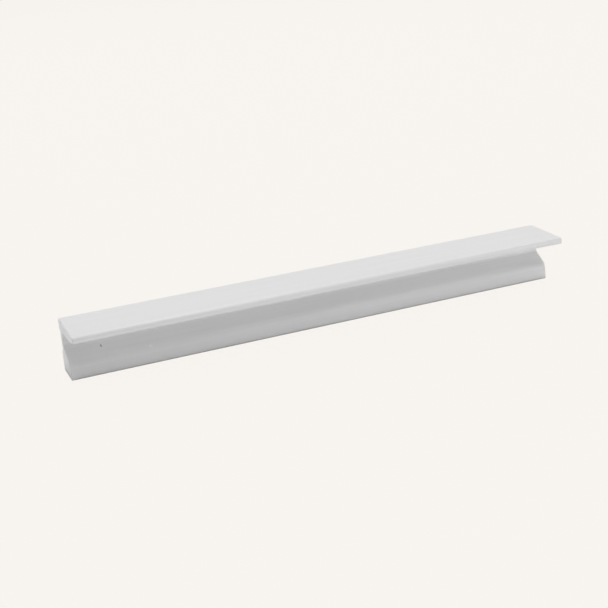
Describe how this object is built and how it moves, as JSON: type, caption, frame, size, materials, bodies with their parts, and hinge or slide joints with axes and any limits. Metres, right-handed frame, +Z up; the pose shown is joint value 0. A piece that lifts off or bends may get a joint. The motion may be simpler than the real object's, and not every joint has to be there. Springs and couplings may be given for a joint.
{
  "type": "aluminium pull handle",
  "caption": "Aluminium lip handle cut from an extruded profile: a flat lip overhangs a finger recess above a solid base that screws to a door from behind.",
  "frame": {"origin": "on the face that meets the door, midway between the two fixing holes", "axes": "+X along the handle, to the right as seen from in front of it; +Y out of the door face, into the door; +Z up, out of the lip's flat top"},
  "size_m": [0.2, 0.022, 0.0203],
  "materials": {
    "aluminium": "matt natural anodised"
  },
  "bodies": {
    "root": {"handle_profile": "aluminium"}
  },
  "joints": []
}
